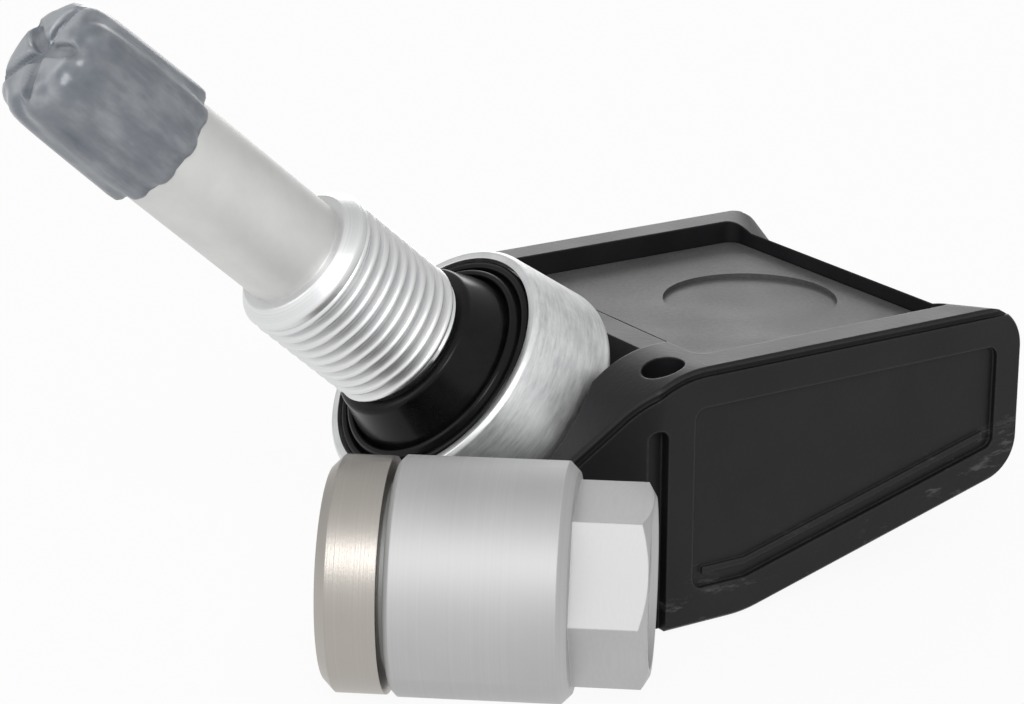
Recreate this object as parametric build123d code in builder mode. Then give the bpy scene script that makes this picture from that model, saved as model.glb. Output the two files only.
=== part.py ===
from build123d import *
import os
from math import cos, radians, sin, tan

os.makedirs("parts", exist_ok=True)

# Millimetres. X runs along the housing toward the valve, Y to the side with the sunk panel that is seen,
# Z up. The foot of the housing lies on Z = 0, and its middle is the origin.

# Housing outline
housing_width = 29.8
housing_height = 17.6
rear_reach = 30.6
foot_reach = 7.5
nose_reach = 11.5
underside_angle = 14.0
rear_top_round = 7.0
rear_side_round = 3.0
rear_blend = 4.5
rear_under_round = 3.0
bend_round = 9.0
brow_round = 8.0
nose_round = 1.2
taper_start = -0.5
taper_angle = 30.0
taper_round = 1.0
edge_chamfer = 0.2

# Sunk panels on the two long sides
panel_depth = 0.4
panel_border_top = 2.7
panel_border_end = 2.2
panel_border_low = 2.5
panel_border_front = 2.7
panel_round = 0.8
bead_gap = 0.9
bead_width = 0.45
bead_height = 0.25

# Seam below the top edge
seam_drop = 0.25
seam_width = 0.4
seam_depth = 0.3

# Upright groove where each cheek starts to taper
groove_width = 1.3
groove_depth = 0.8
groove_drop = 3.7

# Recess in the top, and the cover that lies in it
recess_depth = 1.6
recess_rear = 26.3
recess_front = 5.0
rim_width = 2.4
recess_round = 1.0
cover_thickness = 1.6
cover_clearance = 0.12
cover_land = 2.4
cover_disc_radius = 6.1
cover_disc_depth = 0.35
cover_disc_x = -18.5

# Rooms for the electronics below the cover
ledge_width = 0.75
board_ledge = 0.8
cell_gap = 1.1
floor_wall = 1.7
well_wall = 1.2

# Valve axis: the seat on the housing, below its top, and the rise of the stem
seat_x = 0.5
seat_drop = 8.2
stem_angle = 42.15
seat_wall = 3.0
brow_station = 4.7

# Pocket in the nose that takes the valve
slot_clearance = 0.15
pocket_clearance = 0.3
foot_clearance = 0.3

# Valve stem, turned from one bar; lengths follow one another outward from the seat
foot_radius = 6.0
foot_length = 2.6
collar_rear_radius = 9.85
collar_front_radius = 8.93
collar_length = 6.9
collar_edge = 0.35
collar_lip = 0.6
collar_lip_slope = 0.37
cup_depth = 1.0
cup_wall = 0.4
neck_radius = 4.6
neck_length = 4.2
thread_radius = 5.15
thread_length = 9.6
thread_lead = 0.25
shoulder_length = 0.8
shoulder_radius = 4.25
shank_radius = 3.7
shank_length = 20.5
tip_chamfer = 0.5
air_bore = 1.2
core_room_radius = 2.0
core_room_length = 19.0
core_mouth_radius = 2.65
core_mouth_depth = 6.2
core_mouth_taper = 0.6

# Screw that holds the valve to the housing
screw_radius = 2.0
screw_grip = 5.8
screw_hole_clearance = 0.15
screw_thread_clearance = 0.05
screw_head_radius = 3.4
screw_head_height = 2.4
screw_socket_radius = 1.55
screw_socket_depth = 1.4
screw_air_hole = 0.8
well_clearance = 0.6

# Rubber grommet round the neck
grommet_clearance = 0.05
grommet_flange_clearance = 0.15
grommet_flange = 0.9
grommet_bead_radius = 7.2
grommet_bead_height = 0.55
grommet_groove = 0.25
grommet_nose_radius = 5.6
grommet_nose_length = 0.9
grommet_top_gap = 0.15

# Cap
cap_length = 10.1
cap_overlap = 8.2
cap_mouth_radius = 4.35
cap_crown_radius = 4.15
cap_thread_clearance = 0.1
cap_crown_thickness = 1.2
cap_crown_rise = 0.9
cap_crown_flat = 3.0
cap_flutes = 11
cap_flute_radius = 1.0
cap_flute_depth = 0.18
cap_dish_radius = 2.5
cap_dish_depth = 0.35
cap_star_arms = 11
cap_star_width = 0.5
cap_star_reach = 3.6
seal_clearance = 0.05
seal_thickness = 0.6
seal_bore = 2.75

# Valve core
core_sink = 0.9
core_head_length = 4.4
core_clearance = 0.12
core_tube_radius = 1.65
core_tube_length = 6.6
core_end_wall = 1.2
core_pin_radius = 0.6
core_pin_clearance = 0.1
core_spring_room = 1.3
core_collar_radius = 1.15
core_collar_height = 0.7
core_collar_drop = 1.4
core_pin_rise = 0.5
core_cup_radius = 1.45
core_cup_height = 1.6
core_washer_height = 0.6
core_travel_gap = 0.03
core_ring_height = 0.9
core_ring_wall = 0.4
spring_wire = 0.14
spring_radius = 0.95
spring_turns = 4.0
spring_end_gap = 0.05

# Pressure port in the shoulder of the housing
port_back = 1.7
port_inset = 2.3
port_radius = 1.4
port_depth = 3.0
port_duct_radius = 0.9
port_duct_drop = 1.2
side_duct_radius = 0.7
filter_clearance = 0.1
filter_thickness = 0.4

# Circuit board and what it carries
board_clearance = 0.15
board_thickness = 1.0
cell_radius = 8.0
cell_height = 3.2
cell_rim = 0.5
tab_thickness = 0.25
tab_width = 4.0
tab_overhang = 0.5
chip_length = 5.0
chip_width = 3.2
chip_height = 1.6
chip_port_radius = 0.5
crystal_length = 3.2
crystal_width = 2.5
crystal_height = 0.8
part_spread = 4.1
coil_length = 7.0
coil_width = 2.6
coil_gap = 1.46
coil_flange = 0.8
coil_waist = 0.35
coil_inset = 3.43
aerial_length = 11.0
aerial_gap = 0.75
aerial_width = 1.2
aerial_thickness = 0.4
aerial_inset = 3.23

# Fastening nut, lying on the same floor in front of the nose
nut_ahead = 1.7
nut_beside = 1.65
nut_turn = 141.5
nut_radius = 7.44
nut_bore = 4.7
nut_body_length = 10.95
nut_rear_chamfer = 0.35
nut_front_chamfer = 0.6
nut_hex_flats = 11.0
nut_hex_length = 4.72
nut_hex_turn = 33.0
nut_hex_chamfer = 30.0
nut_bore_chamfer = 0.4
collet_radius = 5.9
collet_lip = 0.25
collet_lip_length = 0.8
washer_length = 3.77
washer_gap = 0.4
washer_running = 0.06
washer_radius = 7.34
washer_chamfer = 0.7
washer_recess = 1.2

# Places worked out from the sizes above
half_width = housing_width / 2
seat_z = housing_height - seat_drop
slope = tan(radians(underside_angle))
rear_foot_z = (rear_reach - foot_reach) * slope
along_x = cos(radians(stem_angle))
along_z = sin(radians(stem_angle))
seat_reach = seat_x * along_x + seat_z * along_z
brow_reach = seat_reach + brow_station
brow_x = (brow_reach - housing_height * along_z) / along_x
nose_z = (brow_reach - nose_reach * along_x) / along_z
recess_half = half_width - rim_width
cover_top = housing_height - recess_depth
cover_bottom = cover_top - cover_thickness
port_x = taper_start - port_back
port_y = half_width - port_inset
seat_wall_x = (seat_reach - cover_top * along_z) / along_x
cover_front = seat_wall_x - cover_land
cover_rear = -recess_rear + cover_clearance
cover_half = recess_half - cover_clearance
board_seat = cover_bottom - cell_gap - cell_height - 2 * tab_thickness - board_thickness
room_rear = cover_rear + ledge_width
room_front = cover_front - ledge_width
room_half = cover_half - ledge_width
room_middle = (room_rear + room_front) / 2
pit_rear = room_rear + board_ledge
pit_front = room_front - board_ledge
pit_half = room_half - board_ledge
side_gap = (2 * room_half - 2 * cell_radius - chip_width) / 3
cell_y = side_gap + cell_radius - room_half
part_y = room_half - side_gap - chip_width / 2
coil_y = pit_half - coil_inset
coil_height = board_seat - (coil_length / 2 - room_middle - foot_reach) * slope - floor_wall - coil_gap
aerial_y = aerial_inset - pit_half
aerial_height = board_seat - (aerial_length / 2 - room_middle - foot_reach) * slope - floor_wall - aerial_gap
well_radius = screw_head_radius + well_clearance
panel_rear = -rear_reach + panel_border_end
panel_front = taper_start - panel_border_front
panel_rear_z = rear_foot_z - panel_border_end * slope + panel_border_low
bead_rear = panel_rear + bead_gap
bead_rear_z = panel_rear_z - bead_gap * slope + bead_gap
groove_top = housing_height - groove_drop
stem_side = Plane(origin=(seat_x, 0, seat_z), x_dir=(along_z, 0, -along_x), z_dir=(0, -1, 0))
stem_cross = Plane(origin=(seat_x, 0, seat_z), x_dir=(along_z, 0, -along_x), z_dir=(along_x, 0, along_z))
stem_line = Axis((seat_x, 0, seat_z), (along_x, 0, along_z))
through = housing_height + rear_reach + nose_reach

slot_half = collar_front_radius + slot_clearance
collar_start = foot_length
collar_end = collar_start + collar_length
cup_floor = collar_end - cup_depth
neck_end = cup_floor + neck_length
thread_end = neck_end + thread_length
shank_start = thread_end + shoulder_length
tip = shank_start + shank_length
cup_radius = collar_front_radius - collar_lip_slope - cup_wall
screw_bore_end = screw_grip + 0.7

outline = [
    (-rear_reach, rear_foot_z),
    (-foot_reach, 0),
    (nose_reach, 0),
    (nose_reach, nose_z),
    (brow_x, housing_height),
    (-rear_reach, housing_height),
]

# Room below the board, cleared from the tube of the screw well
with BuildPart() as pit:
    with BuildSketch(Plane.XZ.offset(-pit_half)):
        with BuildLine():
            Polyline(
                (pit_rear, (-pit_rear - foot_reach) * slope + floor_wall),
                (pit_front, (-pit_front - foot_reach) * slope + floor_wall),
                (pit_front, board_seat),
                (pit_rear, board_seat),
                close=True,
            )
        make_face()
    extrude(amount=2 * pit_half)
    with BuildSketch(stem_cross):
        Circle(well_radius + well_wall)
    extrude(amount=-through, mode=Mode.SUBTRACT)

# Seam below the top edge: a narrow groove that follows the top, the brow and the cheeks
with BuildPart() as seam:
    with BuildSketch(Plane.XZ.offset(-half_width)):
        with BuildLine():
            Polyline(
                (-through, housing_height),
                (brow_x, housing_height),
                (brow_x + through * along_z, housing_height - through * along_x),
                (-through, housing_height - through * along_x),
                close=True,
            )
        make_face()
        fillet(vertices().sort_by_distance((brow_x, housing_height))[0], brow_round)
        offset(amount=-seam_drop, mode=Mode.REPLACE)
        offset(amount=-seam_width, mode=Mode.SUBTRACT)
    extrude(amount=half_width)
    with BuildSketch():
        with BuildLine():
            Polyline(
                (-rear_reach, half_width),
                (taper_start, half_width),
                (nose_reach, half_width - (nose_reach - taper_start) * tan(radians(taper_angle))),
                (nose_reach, half_width - (nose_reach - taper_start) * tan(radians(taper_angle)) - seam_depth),
                (taper_start, half_width - seam_depth),
                (-rear_reach, half_width - seam_depth),
                close=True,
            )
        make_face()
    extrude(amount=housing_height, mode=Mode.INTERSECT)
    mirror(about=Plane.XZ)

# Moulded housing: a long box with a rising underside, a rolled rear end and a tapered nose
with BuildPart() as housing:
    with BuildSketch(Plane.XZ.offset(rear_blend - half_width)):
        with BuildLine():
            Polyline(*outline, close=True)
        make_face()
        fillet(vertices().sort_by_distance((-rear_reach, housing_height))[0], rear_top_round)
        fillet(vertices().sort_by_distance((-rear_reach, rear_foot_z))[0], rear_under_round)
        fillet(vertices().sort_by_distance((-foot_reach, 0))[0], bend_round)
        fillet(vertices().sort_by_distance((brow_x, housing_height))[0], brow_round)
        fillet(vertices().sort_by_distance((nose_reach, nose_z))[0], nose_round)
        fillet(vertices().sort_by_distance((nose_reach, 0))[0], nose_round)
    extrude(amount=housing_width - 2 * rear_blend)
    for level, corner in ((half_width - rear_blend, rear_top_round), (half_width, rear_side_round)):
        with BuildSketch(Plane.XZ.offset(-level)):
            with BuildLine():
                Polyline(*outline, close=True)
            make_face()
            fillet(vertices().sort_by_distance((-rear_reach, housing_height))[0], corner)
            fillet(vertices().sort_by_distance((-rear_reach, rear_foot_z))[0], rear_under_round)
            fillet(vertices().sort_by_distance((-foot_reach, 0))[0], bend_round)
            fillet(vertices().sort_by_distance((brow_x, housing_height))[0], brow_round)
            fillet(vertices().sort_by_distance((nose_reach, nose_z))[0], nose_round)
            fillet(vertices().sort_by_distance((nose_reach, 0))[0], nose_round)
    loft(ruled=True)
    mirror(about=Plane.XZ)
    # cheeks of the nose, drawn in toward the valve
    with BuildSketch():
        with BuildLine():
            Polyline(
                (taper_start, half_width),
                (nose_reach + half_width, half_width - (nose_reach + half_width - taper_start) * tan(radians(taper_angle))),
                (nose_reach + half_width, 2 * half_width),
                (taper_start, 2 * half_width),
                close=True,
            )
        make_face()
        mirror(about=Plane.XZ)
    extrude(amount=housing_height, mode=Mode.SUBTRACT)
    fillet(edges().filter_by(Axis.Z).group_by(SortBy.LENGTH)[-1], taper_round)
    chamfer(edges().filter_by(Axis.X).filter_by_position(Axis.Z, housing_height, housing_height), edge_chamfer)
    add(seam.part, mode=Mode.SUBTRACT)
    # sunk panels
    near_side = Plane.XZ.offset(-half_width)
    far_side = Plane.XZ.offset(half_width)
    for face_plane, inward in ((near_side, panel_depth), (far_side, -panel_depth)):
        with BuildSketch(face_plane):
            with BuildLine():
                Polyline(
                    (panel_rear, panel_rear_z),
                    (-foot_reach, panel_border_low),
                    (panel_front, panel_border_low),
                    (panel_front, housing_height - panel_border_top),
                    (panel_rear, housing_height - panel_border_top),
                    close=True,
                )
            make_face()
            fillet(vertices(), panel_round)
        extrude(amount=inward, mode=Mode.SUBTRACT)
        # bead along the lower edge of the panel, standing less than the panel is deep
        with BuildSketch(face_plane.offset(inward)):
            with BuildLine():
                Polyline(
                    (bead_rear, bead_rear_z),
                    (-foot_reach, panel_border_low + bead_gap),
                    (panel_front - bead_gap, panel_border_low + bead_gap),
                    (panel_front - bead_gap, panel_border_low + bead_gap + bead_width),
                    (-foot_reach, panel_border_low + bead_gap + bead_width),
                    (bead_rear, bead_rear_z + bead_width),
                    close=True,
                )
            make_face()
        extrude(amount=bead_height if inward < 0 else -bead_height)
        # upright groove with a round top
        with BuildSketch(face_plane):
            with Locations((taper_start, (groove_top - groove_width / 2) / 2)):
                Rectangle(groove_width, groove_top - groove_width / 2)
            with Locations((taper_start, groove_top - groove_width / 2)):
                Circle(groove_width / 2)
        extrude(amount=groove_depth if inward > 0 else -groove_depth, mode=Mode.SUBTRACT)
    # recess, cover seat and rooms
    with BuildSketch(Plane.XY.offset(cover_top)):
        with Locations(((-recess_rear - recess_front) / 2, 0)):
            RectangleRounded(recess_rear - recess_front, 2 * recess_half, recess_round)
    extrude(amount=recess_depth, mode=Mode.SUBTRACT)
    with BuildSketch(Plane.XY.offset(cover_bottom)):
        with Locations(((cover_front - recess_rear + cover_clearance) / 2, 0)):
            RectangleRounded(cover_front + recess_rear + cover_clearance, 2 * recess_half, recess_round)
    extrude(amount=cover_thickness, mode=Mode.SUBTRACT)
    with BuildSketch(Plane.XY.offset(board_seat)):
        with Locations((room_middle, 0)):
            RectangleRounded(room_front - room_rear, 2 * room_half, recess_round)
    extrude(amount=cover_bottom - board_seat, mode=Mode.SUBTRACT)
    add(pit.part, mode=Mode.SUBTRACT)
    # pocket of the valve: a slot open upward, a round bed for the collar and one for its foot
    with BuildSketch(stem_cross):
        with Locations((-through / 2, 0)):
            Rectangle(through, 2 * slot_half)
    extrude(amount=through, mode=Mode.SUBTRACT)
    with BuildSketch(stem_cross.offset(collar_start - pocket_clearance)):
        Circle(collar_rear_radius + pocket_clearance)
    extrude(amount=through, mode=Mode.SUBTRACT)
    with BuildSketch(stem_cross):
        Circle(foot_radius + foot_clearance)
    extrude(amount=through, mode=Mode.SUBTRACT)
    with BuildSketch(stem_cross):
        Circle(screw_radius + screw_hole_clearance)
    extrude(amount=-seat_wall, mode=Mode.SUBTRACT)
    with BuildSketch(stem_cross.offset(-seat_wall)):
        Circle(well_radius)
    extrude(amount=-through, mode=Mode.SUBTRACT)
    # pressure port and its duct to the electronics
    with BuildSketch(Plane.XY.offset(housing_height - port_depth)):
        with Locations((port_x, port_y)):
            Circle(port_radius)
    extrude(amount=port_depth, mode=Mode.SUBTRACT)
    with BuildSketch(Plane.XY.offset(housing_height - port_depth - port_duct_drop - port_duct_radius)):
        with Locations((port_x, port_y)):
            Circle(port_duct_radius)
    extrude(amount=port_duct_drop + port_duct_radius, mode=Mode.SUBTRACT)
    duct_run = Vector(room_front - port_x, room_half - 2 * side_duct_radius - port_y, 0)
    duct_plane = Plane(
        origin=(port_x, port_y, housing_height - port_depth - port_duct_drop),
        x_dir=(0, 0, 1),
        z_dir=duct_run,
    )
    with BuildSketch(duct_plane):
        Circle(side_duct_radius)
    extrude(amount=duct_run.length + side_duct_radius, mode=Mode.SUBTRACT)
housing.part.label = "sensor_housing"
export_step(housing.part, "parts/sensor_housing.step")

# Cover over the electronics, with a shallow round dish
with BuildPart() as cover:
    with BuildSketch(Plane.XY.offset(cover_bottom)):
        with Locations(((cover_front + cover_rear) / 2, 0)):
            RectangleRounded(cover_front - cover_rear, 2 * cover_half, recess_round)
    extrude(amount=cover_thickness)
    with BuildSketch(Plane.XY.offset(cover_top)):
        with Locations((cover_disc_x, 0)):
            Circle(cover_disc_radius)
    extrude(amount=-cover_disc_depth, mode=Mode.SUBTRACT)
cover.part.label = "top_cover"
export_step(cover.part, "parts/top_cover.step")

# Valve stem: foot, collar, neck, thread and shank turned in one piece, bored for screw, air and core
with BuildPart() as stem:
    with BuildSketch(stem_side):
        with BuildLine():
            Polyline(
                (screw_radius + screw_thread_clearance, 0),
                (foot_radius, 0),
                (foot_radius, foot_length),
                (collar_rear_radius - collar_edge, collar_start),
                (collar_rear_radius, collar_start + collar_edge),
                (collar_front_radius, collar_end - collar_lip),
                (collar_front_radius - collar_lip_slope, collar_end),
                (cup_radius, collar_end),
                (cup_radius, cup_floor),
                (neck_radius, cup_floor),
                (neck_radius, neck_end),
                (thread_radius - thread_lead, neck_end),
                (thread_radius, neck_end + thread_lead),
                (thread_radius, thread_end),
                (shoulder_radius, shank_start),
                (shank_radius, shank_start),
                (shank_radius, tip - tip_chamfer),
                (shank_radius - tip_chamfer, tip),
                (core_mouth_radius, tip),
                (core_mouth_radius, tip - core_mouth_depth),
                (core_room_radius, tip - core_mouth_depth - core_mouth_taper),
                (core_room_radius, tip - core_room_length),
                (air_bore, tip - core_room_length),
                (air_bore, screw_bore_end),
                (screw_radius + screw_thread_clearance, screw_bore_end),
                close=True,
            )
        make_face()
    revolve(axis=stem_line)
stem.part.label = "valve_stem"
export_step(stem.part, "parts/valve_stem.step")

# Hollow screw from the well into the foot of the stem
with BuildPart() as screw:
    with BuildSketch(stem_side):
        with BuildLine():
            Polyline(
                (screw_air_hole, -seat_wall - screw_head_height + screw_socket_depth),
                (screw_socket_radius, -seat_wall - screw_head_height + screw_socket_depth),
                (screw_socket_radius, -seat_wall - screw_head_height),
                (screw_head_radius, -seat_wall - screw_head_height),
                (screw_head_radius, -seat_wall),
                (screw_radius, -seat_wall),
                (screw_radius, screw_grip),
                (screw_air_hole, screw_grip),
                close=True,
            )
        make_face()
    revolve(axis=stem_line)
screw.part.label = "valve_screw"
export_step(screw.part, "parts/valve_screw.step")

# Rubber grommet: a flange in the cup of the collar, a bead, and a cone up to the nose in the rim hole
grommet_outer = cup_radius - grommet_flange_clearance
grommet_top = neck_end - grommet_top_gap
bead_start = cup_floor + grommet_flange + grommet_groove
cone_start = bead_start + grommet_bead_height
with BuildPart() as grommet:
    with BuildSketch(stem_side):
        with BuildLine():
            Polyline(
                (neck_radius + grommet_clearance, cup_floor),
                (grommet_outer, cup_floor),
                (grommet_outer, cup_floor + grommet_flange),
                (grommet_bead_radius, cup_floor + grommet_flange),
                (grommet_bead_radius, cone_start),
                (grommet_nose_radius, grommet_top - grommet_nose_length),
                (grommet_nose_radius, grommet_top),
                (neck_radius + grommet_clearance, grommet_top),
                close=True,
            )
        make_face()
        chamfer(vertices().sort_by_distance((grommet_outer, cup_floor + grommet_flange))[0], grommet_groove)
        chamfer(vertices().sort_by_distance((grommet_bead_radius, cone_start))[0], grommet_groove)
        chamfer(vertices().sort_by_distance((grommet_nose_radius, grommet_top))[0], grommet_groove)
    revolve(axis=stem_line)
grommet.part.label = "rim_grommet"
export_step(grommet.part, "parts/rim_grommet.step")

# Fluted cap over the tip
cap_mouth = tip - cap_overlap
cap_top = cap_mouth + cap_length
cap_bore = shank_radius + cap_thread_clearance
cap_roof = cap_top - cap_crown_thickness
with BuildPart() as cap:
    with BuildSketch(stem_side):
        with BuildLine():
            Polyline(
                (cap_bore, cap_mouth),
                (cap_mouth_radius, cap_mouth),
                (cap_crown_radius, cap_top - cap_crown_rise),
                (cap_crown_flat, cap_top),
                (cap_dish_radius, cap_top),
                (cap_dish_radius - cap_dish_depth, cap_top - cap_dish_depth),
                (0, cap_top - cap_dish_depth),
                (0, cap_roof),
                (cap_bore, cap_roof),
                close=True,
            )
        make_face()
        chamfer(vertices().sort_by_distance((cap_crown_radius, cap_top - cap_crown_rise))[0], cap_crown_rise / 2)
    revolve(axis=stem_line)
    # grip flutes run the whole length and scallop both ends
    with BuildSketch(stem_cross.offset(cap_mouth)):
        with PolarLocations(cap_mouth_radius + cap_flute_radius - cap_flute_depth, cap_flutes):
            Circle(cap_flute_radius)
    extrude(amount=cap_length, mode=Mode.SUBTRACT)
    # star of shallow slots round the dish of the crown
    with BuildSketch(stem_cross.offset(cap_top - cap_dish_depth)):
        with PolarLocations((cap_dish_radius + cap_star_reach) / 2, cap_star_arms):
            Rectangle(cap_star_reach - cap_dish_radius, cap_star_width)
    extrude(amount=cap_dish_depth, mode=Mode.SUBTRACT)
cap.part.label = "valve_cap"
export_step(cap.part, "parts/valve_cap.step")

# Seal ring under the roof of the cap
with BuildPart() as cap_seal:
    with BuildSketch(stem_cross.offset(cap_roof - seal_clearance - seal_thickness)):
        Circle(cap_bore - seal_clearance)
        Circle(seal_bore, mode=Mode.SUBTRACT)
    extrude(amount=seal_thickness)
cap_seal.part.label = "cap_seal"
export_step(cap_seal.part, "parts/cap_seal.step")

# Valve core: head and tube in one, screwed into the mouth of the stem
core_top = tip - core_sink
core_head_end = core_top - core_head_length
core_tube_end = core_head_end - core_tube_length
core_floor = core_tube_end + core_end_wall
with BuildPart() as barrel:
    with BuildSketch(stem_side):
        with BuildLine():
            Polyline(
                (core_pin_radius + core_pin_clearance, core_tube_end),
                (core_tube_radius, core_tube_end),
                (core_tube_radius, core_head_end),
                (core_mouth_radius - core_clearance, core_head_end),
                (core_mouth_radius - core_clearance, core_top),
                (core_spring_room, core_top),
                (core_spring_room, core_floor),
                (core_pin_radius + core_pin_clearance, core_floor),
                close=True,
            )
        make_face()
    revolve(axis=stem_line)
barrel.part.label = "core_barrel"
export_step(barrel.part, "parts/core_barrel.step")

# Sealing ring below the head of the core
with BuildPart() as core_ring:
    with BuildSketch(stem_cross.offset(core_head_end - core_ring_height)):
        Circle(core_tube_radius + core_clearance + core_ring_wall)
        Circle(core_tube_radius + core_clearance, mode=Mode.SUBTRACT)
    extrude(amount=core_ring_height)
core_ring.part.label = "core_ring"
export_step(core_ring.part, "parts/core_ring.step")

# Pin with its collar at the top and the cup at the foot
pin_top = core_top + core_pin_rise
pin_collar_top = core_top - core_collar_drop
pin_collar_foot = pin_collar_top - core_collar_height
washer_top = core_tube_end - core_travel_gap
cup_top = washer_top - core_washer_height
with BuildPart() as pin:
    with BuildSketch(stem_side):
        with BuildLine():
            Polyline(
                (0, cup_top - core_cup_height),
                (core_cup_radius, cup_top - core_cup_height),
                (core_cup_radius, cup_top),
                (core_pin_radius, cup_top),
                (core_pin_radius, pin_collar_foot),
                (core_collar_radius, pin_collar_foot),
                (core_collar_radius, pin_collar_top),
                (core_pin_radius, pin_collar_top),
                (core_pin_radius, pin_top),
                (0, pin_top),
                close=True,
            )
        make_face()
    revolve(axis=stem_line)
pin.part.label = "core_pin"
export_step(pin.part, "parts/core_pin.step")

# Rubber washer on the cup that closes the tube
with BuildPart() as core_washer:
    with BuildSketch(stem_cross.offset(cup_top)):
        Circle(core_cup_radius)
        Circle(core_pin_radius + core_pin_clearance / 2, mode=Mode.SUBTRACT)
    extrude(amount=core_washer_height)
core_washer.part.label = "core_washer"
export_step(core_washer.part, "parts/core_washer.step")

# Spring between the floor of the tube and the collar of the pin
spring_foot = core_floor + spring_wire + spring_end_gap
spring_rise = pin_collar_foot - core_floor - 2 * (spring_wire + spring_end_gap)
with BuildPart() as spring:
    with BuildLine():
        coil = Helix(
            pitch=spring_rise / spring_turns,
            height=spring_rise,
            radius=spring_radius,
            center=stem_cross.offset(spring_foot).origin,
            direction=stem_cross.z_dir,
        )
    with BuildSketch(Plane(origin=coil @ 0, z_dir=coil % 0)):
        RegularPolygon(spring_wire, 4)
    sweep(path=coil, is_frenet=True)
spring.part.label = "core_spring"
export_step(spring.part, "parts/core_spring.step")

# Filter disc in the pressure port
with BuildPart() as port_filter:
    with BuildSketch(Plane.XY.offset(housing_height - port_depth)):
        with Locations((port_x, port_y)):
            Circle(port_radius - filter_clearance)
    extrude(amount=filter_thickness)
port_filter.part.label = "port_filter"
export_step(port_filter.part, "parts/port_filter.step")

# Circuit board on its ledge
board_top = board_seat + board_thickness
with BuildPart() as board:
    with BuildSketch(Plane.XY.offset(board_seat)):
        with Locations((room_middle, 0)):
            RectangleRounded(
                room_front - room_rear - 2 * board_clearance,
                2 * (room_half - board_clearance),
                recess_round,
            )
    extrude(amount=board_thickness)
board.part.label = "circuit_board"
export_step(board.part, "parts/circuit_board.step")

# Lower contact strip, coin cell, and upper contact strip bent down to the board
with BuildPart() as lower_tab:
    with BuildSketch(Plane.XY.offset(board_top)):
        with Locations((room_middle, cell_y)):
            Rectangle(tab_width, 2 * cell_radius - tab_width)
    extrude(amount=tab_thickness)
lower_tab.part.label = "cell_tab_lower"
export_step(lower_tab.part, "parts/cell_tab_lower.step")

cell_bottom = board_top + tab_thickness
cell_top = cell_bottom + cell_height
with BuildPart() as cell:
    with BuildSketch(Plane.XY.offset(cell_bottom)):
        with Locations((room_middle, cell_y)):
            Circle(cell_radius)
    extrude(amount=cell_height)
    chamfer(cell.faces().sort_by(Axis.Z)[0].edges(), cell_rim)
cell.part.label = "coin_cell"
export_step(cell.part, "parts/coin_cell.step")

tab_edge = cell_y + cell_radius + tab_overhang
with BuildPart() as upper_tab:
    with BuildSketch(Plane.YZ.offset(room_middle - tab_width / 2)):
        with BuildLine():
            Polyline(
                (cell_y, cell_top),
                (tab_edge, cell_top),
                (tab_edge, board_top),
                (tab_edge + tab_thickness, board_top),
                (tab_edge + tab_thickness, cell_top + tab_thickness),
                (cell_y, cell_top + tab_thickness),
                close=True,
            )
        make_face()
    extrude(amount=tab_width)
upper_tab.part.label = "cell_tab_upper"
export_step(upper_tab.part, "parts/cell_tab_upper.step")

# Sensor chip with its pressure hole, and the crystal beside it
with BuildPart() as chip:
    with BuildSketch(Plane.XY.offset(board_top)):
        with Locations((room_middle - part_spread - chip_length / 2 + tab_width / 2, part_y)):
            Rectangle(chip_length, chip_width)
    extrude(amount=chip_height)
    with BuildSketch(Plane.XY.offset(board_top + chip_height)):
        with Locations((room_middle - part_spread - chip_length / 2 + tab_width / 2, part_y)):
            Circle(chip_port_radius)
    extrude(amount=-chip_height / 2, mode=Mode.SUBTRACT)
chip.part.label = "sensor_chip"
export_step(chip.part, "parts/sensor_chip.step")

with BuildPart() as crystal:
    with BuildSketch(Plane.XY.offset(board_top)):
        with Locations((room_middle + part_spread, part_y)):
            Rectangle(crystal_length, crystal_width)
    extrude(amount=crystal_height)
crystal.part.label = "quartz_crystal"
export_step(crystal.part, "parts/quartz_crystal.step")

# Wake-up coil and radio strip under the board
with BuildPart() as coil_block:
    with BuildSketch(Plane.XY.offset(board_seat - coil_height)):
        with Locations((room_middle, coil_y)):
            Rectangle(coil_length, coil_width)
    extrude(amount=coil_height)
    with BuildSketch(Plane.XY.offset(board_seat - coil_height)):
        with Locations((room_middle, coil_y)):
            Rectangle(coil_length - 2 * coil_flange, coil_width)
            Rectangle(coil_length - 2 * coil_flange, coil_width - 2 * coil_waist, mode=Mode.SUBTRACT)
    extrude(amount=coil_height, mode=Mode.SUBTRACT)
coil_block.part.label = "wake_coil"
export_step(coil_block.part, "parts/wake_coil.step")

with BuildPart() as aerial:
    with BuildSketch(Plane.XZ.offset(-aerial_y - aerial_width / 2)):
        with Locations((room_middle, board_seat - aerial_height / 2)):
            Rectangle(aerial_length, aerial_height)
        with Locations((room_middle, board_seat - (aerial_height - aerial_thickness) / 2)):
            Rectangle(
                aerial_length - 2 * aerial_thickness,
                aerial_height - aerial_thickness,
                mode=Mode.SUBTRACT,
            )
    extrude(amount=aerial_width)
aerial.part.label = "radio_strip"
export_step(aerial.part, "parts/radio_strip.step")

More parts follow.
